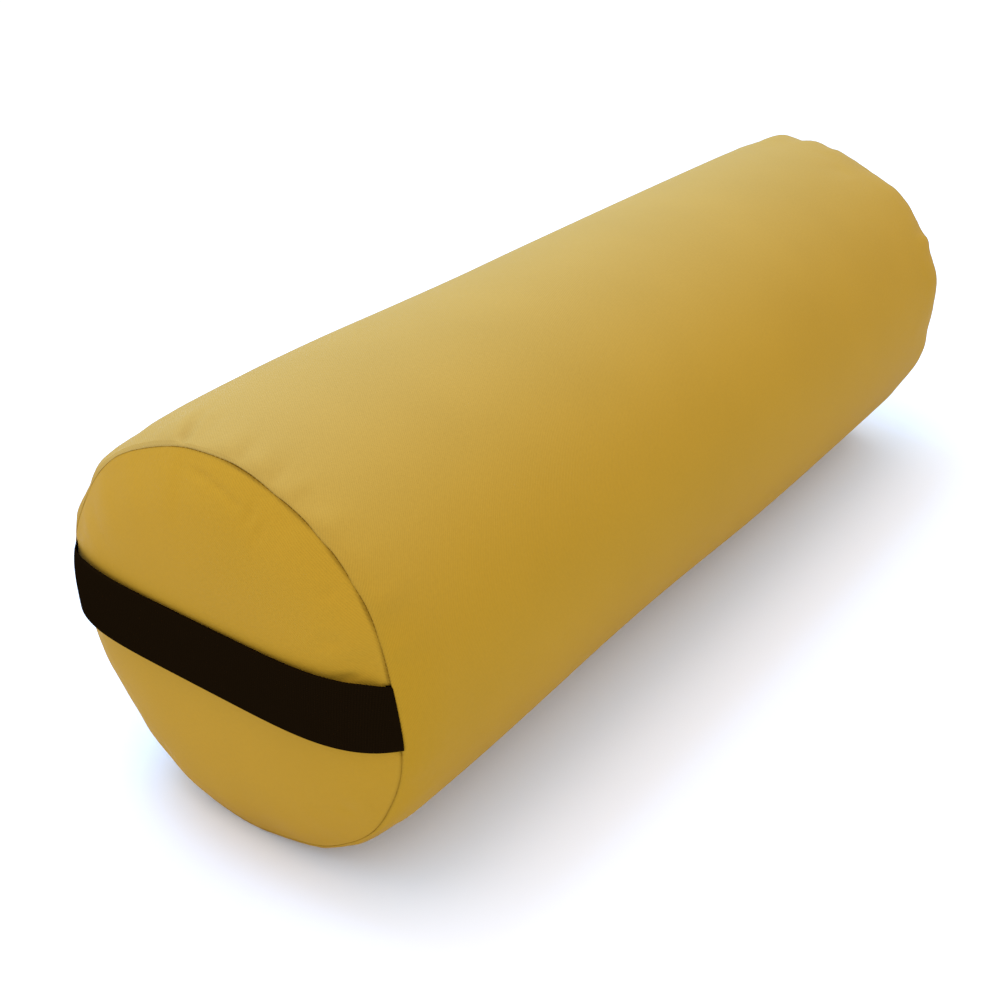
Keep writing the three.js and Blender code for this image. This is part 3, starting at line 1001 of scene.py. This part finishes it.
def strap_rows():
    """Cross-sections of the strap from its front root to its back root, with both tails."""
    shares = strap_shares()
    across, depth = strap_loop().T
    y, x = strap_path(shares, across)
    y_before, x_before = strap_path((shares - TANGENT_STEP).clip(-1, 1), across)
    y_after, x_after = strap_path((shares + TANGENT_STEP).clip(-1, 1), across)
    length = np.hypot(y_after - y_before, x_after - x_before)
    inwards_y = -(x_before - x_after) / length
    inwards_x = (y_after - y_before) / length
    inwards_y[[0, -1]] = np.array([[1], [-1]])
    inwards_x[[0, -1]] = 0
    z = AXIS_Z + STRAP_MIDDLE + (across - 0.5) * STRAP_WIDTH - root_dip(shares)[:, None] * across
    rows = np.stack([x + inwards_x * depth, y + inwards_y * depth, z], -1)
    tails = rows[[0, -1]].copy()
    tails[..., 0] += STRAP_TAIL
    return np.concatenate([tails[:1], rows, tails[1:]])


webbing_rows = strap_rows()
root_tips = webbing_rows[0].mean(0), webbing_rows[-1].mean(0)
strap = closed_tube("carry_webbing", webbing_rows, *root_tips)
middle_lane = np.argmin(np.abs(strap_loop()[:, 0] - 0.5))

# %% [markdown]
# ## Cloth coordinates
# A weave has to follow the cloth, not the room. Blender could unwrap each piece, but every
# one of them is a known tube or disc. So it gets its coordinates by measuring, in
# millimetres of cloth: round and along on the side, across and up on the ends, and
# lengthwise and across on the strap. The side's coordinates are cut open underneath, where
# the jump can't be seen.

# %% Weave coordinates in millimetres
CUT_TURN = 270
WEAVE_MAP = "weave_mm"
CLOTH_RADIUS_MM = float(side_radius.mean()) * 1000


def set_weave(piece, pairs):
    """Stores a pair of cloth coordinates, in millimetres, for each face corner."""
    layer = piece.data.uv_layers.new(name=WEAVE_MAP)
    layer.data.foreach_set("uv", pairs.reshape(-1).astype(np.float32))


def corners_of(piece):
    """For each face corner: its point, and its face's number."""
    mesh = piece.data
    owners = np.zeros(len(mesh.loops), int)
    mesh.loops.foreach_get("vertex_index", owners)
    sizes = np.zeros(len(mesh.polygons), int)
    mesh.polygons.foreach_get("loop_total", sizes)
    return points_of(piece)[owners], np.repeat(np.arange(len(sizes)), sizes)


def weave_round(piece):
    """Cloth coordinates of the side: millimetres round it and along it."""
    corners, faces = corners_of(piece)
    turn = (turn_of(corners) - CUT_TURN) % 360
    lowest = np.full(faces.max() + 1, 360.0)
    np.minimum.at(lowest, faces, turn)
    highest = np.zeros(faces.max() + 1)
    np.maximum.at(highest, faces, turn)
    split = (highest - lowest > 180)[faces]
    turn = np.where(split & (turn < 180), turn + 360, turn)
    along = np.concatenate([[0], np.hypot(np.diff(side_x), np.diff(side_radius.mean(1))).cumsum()])
    round_mm = np.radians(turn) * CLOTH_RADIUS_MM
    along_mm = np.interp(corners[:, 0], side_x, along) * 1000
    set_weave(piece, np.stack([round_mm, along_mm], -1))


def weave_flat(piece):
    """Cloth coordinates of an end panel: millimetres across it and up it."""
    corners, _ = corners_of(piece)
    set_weave(piece, (corners[:, 1:] - np.array([AXIS_Y, AXIS_Z])) * 1000)


def weave_along_strap(piece):
    """Cloth coordinates of the strap: millimetres lengthwise and across."""
    corners, _ = corners_of(piece)
    path = webbing_rows[1:-1, middle_lane]
    length = np.concatenate([[0], np.linalg.norm(np.diff(path, axis=0), axis=1).cumsum()])
    lengthwise = np.interp(corners[:, 1], path[:, 1], length)
    set_weave(piece, np.stack([lengthwise, corners[:, 2] - AXIS_Z - STRAP_MIDDLE], -1) * 1000)
weave_round(side_cover)
for cover in end_covers.values():
    weave_flat(cover)
weave_along_strap(strap)
print("cloth coordinates set on", 2 + len(end_covers), "pieces")

# %% [markdown]
# ## Finishes
# Every finish here is a small net of shader nodes. Image textures could be used too, but
# nodes have no edge, no repeat and no fixed size. Cloth is never one flat colour: a twill has
# fine slanting ribs, each yarn is a little lighter or darker than the next, and the dye and
# the light wear vary slowly over the piece. The helpers below keep the nets short.

# %% Helpers for shader nodes
def new_material(name):
    """A material with only an output and a main shader."""
    material = bpy.data.materials.new(name)
    material.use_nodes = True
    tree = material.node_tree
    return material, tree, tree.nodes["Principled BSDF"]


def plug(tree, socket, value):
    """Sets a socket from a number, a colour or another socket."""
    if isinstance(value, bpy.types.NodeSocket):
        tree.links.new(value, socket)
    else:
        socket.default_value = value


def maths(tree, operation, *values):
    """A Math node's result."""
    step = tree.nodes.new("ShaderNodeMath")
    step.operation = operation
    for socket, value in zip(step.inputs, values):
        plug(tree, socket, value)
    return step.outputs[0]


def weave_axes(tree):
    """The two cloth coordinates in millimetres as sockets."""
    layer = tree.nodes.new("ShaderNodeUVMap")
    layer.uv_map = WEAVE_MAP
    split = tree.nodes.new("ShaderNodeSeparateXYZ")
    tree.links.new(layer.outputs[0], split.inputs[0])
    return layer.outputs[0], split.outputs[0], split.outputs[1]


def waves(tree, across, along, angle, pitch, wobble):
    """Ribs at an angle in the cloth, from 0 to 1, with this pitch in millimetres."""
    turned = maths(tree, "MULTIPLY", across, math.cos(angle) / pitch)
    turned = maths(tree, "MULTIPLY_ADD", along, math.sin(angle) / pitch, turned)
    turned = maths(tree, "ADD", turned, wobble)
    wave = maths(tree, "SINE", maths(tree, "MULTIPLY", turned, 2 * math.pi))
    return maths(tree, "MULTIPLY_ADD", wave, 0.5, 0.5)


def mottle(tree, place, scale, detail):
    """Soft noise round zero, from about -0.5 to 0.5."""
    clouds = tree.nodes.new("ShaderNodeTexNoise")
    tree.links.new(place, clouds.inputs["Vector"])
    clouds.inputs["Scale"].default_value = scale
    clouds.inputs["Detail"].default_value = detail
    return maths(tree, "SUBTRACT", clouds.outputs["Fac"], 0.5)


def shaded(tree, colour, factor):
    """The colour made lighter or darker by a factor socket."""
    scale = tree.nodes.new("ShaderNodeVectorMath")
    scale.operation = "SCALE"
    scale.inputs[0].default_value = colour
    tree.links.new(factor, scale.inputs["Scale"])
    return scale.outputs[0]


def bump(tree, height, distance, strength):
    """A Bump node over a height from 0 to 1."""
    step = tree.nodes.new("ShaderNodeBump")
    step.inputs["Distance"].default_value = distance
    step.inputs["Strength"].default_value = strength
    tree.links.new(height, step.inputs["Height"])
    return step.outputs[0]


# %% [markdown]
# The top of the side is painted paler and cooler than its flanks. This painted sheen stands in for
# the pale highlight that light from above and behind puts there. A second material would end at a sharp line.
# A Map
# Range node makes a smooth step instead: one up from the front, one down at the back, and their product is
# the painted sheen strip.

# %% Painted sheen along the top
# Painted sheen: a paler, cooler colour that the top of the side fades to, for the highlight there.
PAINTED_SHEEN_COLOUR = (0.416, 0.258, 0.060)
SHEEN_FROM_TURN = 15
SHEEN_TO_TURN = 105
BACK_FROM_TURN = 108
BACK_TO_TURN = 172


def blend_between(tree, value, low, high):
    """A smooth step from 0 to 1 while value goes from low to high."""
    step = tree.nodes.new("ShaderNodeMapRange")
    step.interpolation_type = "SMOOTHSTEP"
    plug(tree, step.inputs["Value"], value)
    step.inputs["From Min"].default_value = low
    step.inputs["From Max"].default_value = high
    return step.outputs["Result"]


def round_mm(turn):
    """The round weave coordinate of a turn, in millimetres."""
    return math.radians((turn - CUT_TURN) % 360) * CLOTH_RADIUS_MM


def painted_sheen_strip(tree, across):
    """How much painted sheen the side gets: 1 along the top and 0 lower down on both sides."""
    front = blend_between(tree, across, round_mm(SHEEN_FROM_TURN), round_mm(SHEEN_TO_TURN))
    back = blend_between(tree, across, round_mm(BACK_FROM_TURN), round_mm(BACK_TO_TURN))
    return maths(tree, "MULTIPLY", front, maths(tree, "SUBTRACT", 1.0, back))


print("worn strip from", round(round_mm(SHEEN_FROM_TURN)), "to", round(round_mm(BACK_TO_TURN)), "mm")

# %% [markdown]
# The cover is a matt cotton twill in mustard. Its steep ribs are about a millimetre apart. A
# photograph of such cloth would repeat and would stretch on the curved ends. Waves along the
# cloth's own coordinates give the ribs instead. Soft noise bends them, gives each yarn its
# own tone (the heather) and clouds the dye. Every tone is a share of the base colour, and
# each scale says how many times its noise changes in a millimetre. Brushed cotton hardly
# shines, so only a trace of gloss and sheen is left.

# %% Mustard twill
SIDE_COLOUR = (0.397, 0.207, 0.0120)
# The end covers take a slightly lighter copy of the side's mustard: painted light, lifting the ends above
# what the lamps give them.
END_COLOUR = (0.418, 0.218, 0.0150)
TWILL_PITCH = 1.15
TWILL_ANGLE = math.radians(-54)
YARN_PITCH = 0.55
TWILL_WOBBLE = 1.4
WOBBLE_SCALE = 0.06
HEATHER_SCALE = 0.5
CLOUD_SCALE = 0.012
TWILL_SHADE = 0.07
HEATHER_SHADE = 0.12
CLOUD_SHADE = 0.11
PAINTED_CREASE_SHADE = 0.5
TWILL_ROUGHNESS = 0.68
TWILL_UNEVEN = 0.1
RIB_RELIEF = 0.6
YARN_RELIEF = 0.25
HEATHER_RELIEF = 0.5
TWILL_BUMP = 0.00012
TWILL_BUMP_STRENGTH = 0.6
TWILL_GLOSS = 0.05
TWILL_SHEEN = 0.02
SHEEN_ROUGHNESS = 0.5
SHEEN_TINT = (1.0, 0.98, 0.9, 1.0)


def twill_shade(tree, ribs, heather, clouds):
    """Tone of the twill as a share of its colour: 1 on plain cloth and less in a crease, where shade is
    painted in.
    """
    shade = maths(tree, "MULTIPLY_ADD", maths(tree, "SUBTRACT", ribs, 0.5), TWILL_SHADE, 1.0)
    shade = maths(tree, "MULTIPLY_ADD", heather, HEATHER_SHADE, shade)
    shade = maths(tree, "MULTIPLY_ADD", clouds, CLOUD_SHADE, shade)
    # Painted shade: the colour is darkened where the crease mask is high.
    painted_crease_shade = tree.nodes.new("ShaderNodeAttribute")
    painted_crease_shade.attribute_name = "painted_crease_shade"
    return maths(tree, "MULTIPLY_ADD", painted_crease_shade.outputs["Fac"], -PAINTED_CREASE_SHADE, shade)


def painted_sheen_on_top(tree, colour, shade, across):
    """The colour of the side, going over to the paler painted sheen colour along the top."""
    faded = tree.nodes.new("ShaderNodeMix")
    faded.data_type = "RGBA"
    tree.links.new(painted_sheen_strip(tree, across), faded.inputs["Factor"])
    tree.links.new(colour, faded.inputs["A"])
    tree.links.new(shaded(tree, PAINTED_SHEEN_COLOUR, shade), faded.inputs["B"])
    return faded.outputs["Result"]


def twill(name, base, painted_sheen=False):
    """Matt mustard cotton twill. With painted sheen, it is painted paler along the top as a highlight."""
    material, tree, shader = new_material(name)
    place, across, along = weave_axes(tree)
    wobble = maths(tree, "MULTIPLY", mottle(tree, place, WOBBLE_SCALE, 2), TWILL_WOBBLE)
    ribs = waves(tree, across, along, TWILL_ANGLE, TWILL_PITCH, wobble)
    yarns = waves(tree, across, along, TWILL_ANGLE + math.pi / 2, YARN_PITCH, wobble)
    heather = mottle(tree, place, HEATHER_SCALE, 3)
    clouds = mottle(tree, place, CLOUD_SCALE, 3)
    shade = twill_shade(tree, ribs, heather, clouds)
    colour = shaded(tree, base, shade)
    if painted_sheen:
        colour = painted_sheen_on_top(tree, colour, shade, across)
    tree.links.new(colour, shader.inputs["Base Color"])
    roughness = maths(tree, "MULTIPLY_ADD", heather, TWILL_UNEVEN, TWILL_ROUGHNESS)
    tree.links.new(roughness, shader.inputs["Roughness"])
    relief = maths(tree, "MULTIPLY_ADD", ribs, RIB_RELIEF, maths(tree, "MULTIPLY", yarns, YARN_RELIEF))
    relief = maths(tree, "MULTIPLY_ADD", heather, HEATHER_RELIEF, relief)
    tree.links.new(bump(tree, relief, TWILL_BUMP, TWILL_BUMP_STRENGTH), shader.inputs["Normal"])
    shader.inputs["Specular IOR Level"].default_value = TWILL_GLOSS
    shader.inputs["Sheen Weight"].default_value = TWILL_SHEEN
    shader.inputs["Sheen Roughness"].default_value = SHEEN_ROUGHNESS
    shader.inputs["Sheen Tint"].default_value = SHEEN_TINT
    return material


# The side's twill carries the painted sheen along its top.
side_cover.data.materials.append(twill("mustard_twill_painted_sheen", SIDE_COLOUR, painted_sheen=True))
# The end covers' twill uses the lighter, painted-light copy of the colour.
end_finish = twill("mustard_twill", END_COLOUR)
for cover in end_covers.values():
    cover.data.materials.append(end_finish)
print("twill on the side and", len(end_covers), "end covers")

# %% [markdown]
# The sewing thread is a darker mustard than the cloth. A stitch is two millimetres long, so
# its twist would hardly show, and modelling it would cost many faces. Fine noise stands for
# the fibres: it breaks up the tone, the roughness and the surface.

# %% Sewing thread
THREAD_COLOUR = (0.19, 0.09, 0.005)
FIBRE_SCALE = 900
FIBRE_SHADE = 0.3
FIBRE_UNEVEN = 0.2
THREAD_ROUGHNESS = 0.6
FIBRE_BUMP = 0.0001
FIBRE_BUMP_STRENGTH = 0.5


def thread_finish(name):
    """Cotton thread in a darker mustard."""
    material, tree, shader = new_material(name)
    coordinates = tree.nodes.new("ShaderNodeTexCoord")
    fibres = mottle(tree, coordinates.outputs["Object"], FIBRE_SCALE, 2)
    shade = maths(tree, "MULTIPLY_ADD", fibres, FIBRE_SHADE, 1.0)
    tree.links.new(shaded(tree, THREAD_COLOUR, shade), shader.inputs["Base Color"])
    roughness = maths(tree, "MULTIPLY_ADD", fibres, FIBRE_UNEVEN, THREAD_ROUGHNESS)
    tree.links.new(roughness, shader.inputs["Roughness"])
    tree.links.new(bump(tree, fibres, FIBRE_BUMP, FIBRE_BUMP_STRENGTH), shader.inputs["Normal"])
    shader.inputs["Specular IOR Level"].default_value = 0.0
    return material


stitch_finish = thread_finish("mustard_thread")
for thread in seam_threads.values():
    thread.data.materials.append(stitch_finish)
print("thread finish on", len(seam_threads), "seams")

# %% [markdown]
# The strap is a dense matt webbing, almost black with a warm tone. Its weft makes small ribs
# across the strap, and its warp makes fine lines along it. Two sets of waves that are
# multiplied give both at once, and their noise is the fuzz of the cotton.

# %% Dark webbing
WEBBING_COLOUR = (0.0078, 0.0039, 0.0013)
RIB_PITCH = 1.4
WARP_PITCH = 1.1
WEBBING_WOBBLE = 0.5
WEBBING_WOBBLE_SCALE = 0.2
FUZZ_SCALE = 1.6
WEBBING_DARKEST = 0.82
WEBBING_SHADE = 0.35
FUZZ_SHADE = 0.35
WEBBING_ROUGHNESS = 0.85
FUZZ_UNEVEN = 0.15
WARP_RELIEF = 0.5
FUZZ_RELIEF = 0.4
WEBBING_BUMP = 0.00025
WEBBING_BUMP_STRENGTH = 0.7


def webbing(name):
    """Matt black brown cotton webbing with fine ribs."""
    material, tree, shader = new_material(name)
    place, lengthwise, across = weave_axes(tree)
    wobble = maths(tree, "MULTIPLY", mottle(tree, place, WEBBING_WOBBLE_SCALE, 2), WEBBING_WOBBLE)
    ribs = waves(tree, lengthwise, across, 0.0, RIB_PITCH, wobble)
    warp = waves(tree, lengthwise, across, math.pi / 2, WARP_PITCH, wobble)
    fuzz = mottle(tree, place, FUZZ_SCALE, 3)
    weave = maths(tree, "MULTIPLY", ribs, warp)
    shade = maths(tree, "MULTIPLY_ADD", weave, WEBBING_SHADE, WEBBING_DARKEST)
    shade = maths(tree, "MULTIPLY_ADD", fuzz, FUZZ_SHADE, shade)
    tree.links.new(shaded(tree, WEBBING_COLOUR, shade), shader.inputs["Base Color"])
    roughness = maths(tree, "MULTIPLY_ADD", fuzz, FUZZ_UNEVEN, WEBBING_ROUGHNESS)
    tree.links.new(roughness, shader.inputs["Roughness"])
    relief = maths(tree, "MULTIPLY_ADD", ribs, RIB_RELIEF, maths(tree, "MULTIPLY", warp, WARP_RELIEF))
    relief = maths(tree, "MULTIPLY_ADD", fuzz, FUZZ_RELIEF, relief)
    tree.links.new(bump(tree, relief, WEBBING_BUMP, WEBBING_BUMP_STRENGTH), shader.inputs["Normal"])
    shader.inputs["Specular IOR Level"].default_value = 0.0
    return material


strap.data.materials.append(webbing("dark_webbing"))
print("finishes:", [material.name for material in bpy.data.materials])

# %% [markdown]
# ## Floor
# The photograph is a catalogue picture on white ground. A curved studio backdrop would do,
# but a single large pale sheet reaches past the frame and is simpler. It lies a hair lower
# than the bolster's flat spot, so that the two never share a plane.

# %% Floor
FLOOR_HALF = 6.0
FLOOR_DROP = 0.0003
FLOOR_COLOUR = (0.87, 0.88, 0.95)
FLOOR_CLOUD_SCALE = 2.0
FLOOR_SHADE = 0.004
FLOOR_ROUGHNESS = 0.95


def pale_floor(name):
    """Matt pale ground with a trace of unevenness."""
    material, tree, shader = new_material(name)
    place = tree.nodes.new("ShaderNodeTexCoord").outputs["Object"]
    shade = maths(tree, "MULTIPLY_ADD", mottle(tree, place, FLOOR_CLOUD_SCALE, 1), FLOOR_SHADE, 1.0)
    tree.links.new(shaded(tree, FLOOR_COLOUR, shade), shader.inputs["Base Color"])
    shader.inputs["Roughness"].default_value = FLOOR_ROUGHNESS
    shader.inputs["Specular IOR Level"].default_value = 0.0
    return material


floor_corners = [(-1, -1), (1, -1), (1, 1), (-1, 1)]
floor_points = np.array([(x * FLOOR_HALF, y * FLOOR_HALF, -FLOOR_DROP) for x, y in floor_corners])
floor = mesh_object("floor", floor_points, [(0, 1, 2, 3)])
floor.data.materials.append(pale_floor("pale_floor"))
print("floor:", 2 * FLOOR_HALF, "m wide")

# %% [markdown]
# ## Lamps and surround
# The light in the photograph is soft and comes from above and behind: the top is pale, the
# front is a deeper mustard, and the shadow has a blue tone. One sun would give hard edges.
# Two large round lamps and an even surround give soft ones. The lamp overhead is warm and
# weak, and the one behind is blue and strong, which cools the top and leaves the front warm.
# A painted sheen on the side's top makes it paler still.
# The plain view transform keeps the white of the floor white.

# %% Lamps and surround
LAMP_AIM = Vector((0.0, 0.0, 0.1))
LAMP_SIZE = 1.2
LAMPS = {
    # name: place, power in watts, colour
    "overhead": ((-0.5, 0.1, 2.0), 9.0, (1.0, 0.64, 0.36)),
    "behind": ((0.0, 0.9, 1.9), 32.0, (0.22, 0.52, 1.0)),
}
SURROUND_COLOUR = (0.845, 0.933, 1.0, 1.0)
SURROUND_STRENGTH = 1.35


def soft_lamp(name, place, power, colour):
    """A round soft lamp that points at the bolster."""
    data = bpy.data.lights.new(name, "AREA")
    data.shape = "DISK"
    data.size = LAMP_SIZE
    data.energy = power
    data.color = colour
    lamp = bpy.data.objects.new(name, data)
    lamp.location = place
    lamp.rotation_euler = (LAMP_AIM - Vector(place)).to_track_quat("-Z", "Y").to_euler()
    bpy.context.scene.collection.objects.link(lamp)


for name, (place, power, colour) in LAMPS.items():
    soft_lamp(name, place, power, colour)

world = bpy.data.worlds.new("studio")
world.use_nodes = True
backdrop = world.node_tree.nodes["Background"]
backdrop.inputs["Color"].default_value = SURROUND_COLOUR
backdrop.inputs["Strength"].default_value = SURROUND_STRENGTH
bpy.context.scene.world = world
bpy.context.scene.view_settings.view_transform = "Standard"
print("lamps:", list(LAMPS))

# %% [markdown]
# ## Dressed pieces in place of the solids
# The dressed bolster takes the place of the plain solids. Each piece is listed with the CAD
# node it stands for and a finish name, which nothing here reads. It is hung on the body it
# moves with, and that node's solid is hidden. The seam threads move with the same body.

BOLSTER_BODY = "root"

replaced = {
    side_cover: ("bolster_body", "bolster_cloth"),
    end_covers[NEAR]: ("end_panel_near", "bolster_cloth"),
    end_covers[FAR]: ("end_panel_far", "bolster_cloth"),
    strap: ("carry_strap", "strap_webbing"),
}
for piece, (node, finish) in replaced.items():
    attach(piece, BOLSTER_BODY)
    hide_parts(node)
for thread in seam_threads.values():
    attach(thread, BOLSTER_BODY)

print("pieces that stand for solids:", [piece.name for piece in replaced])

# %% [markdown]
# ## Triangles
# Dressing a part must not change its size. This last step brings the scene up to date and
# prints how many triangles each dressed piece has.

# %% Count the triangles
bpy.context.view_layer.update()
for piece in (side_cover, strap, *end_covers.values(), *seam_threads.values()):
    piece.data.calc_loop_triangles()
    print(piece.name, len(piece.data.loop_triangles), "triangles")
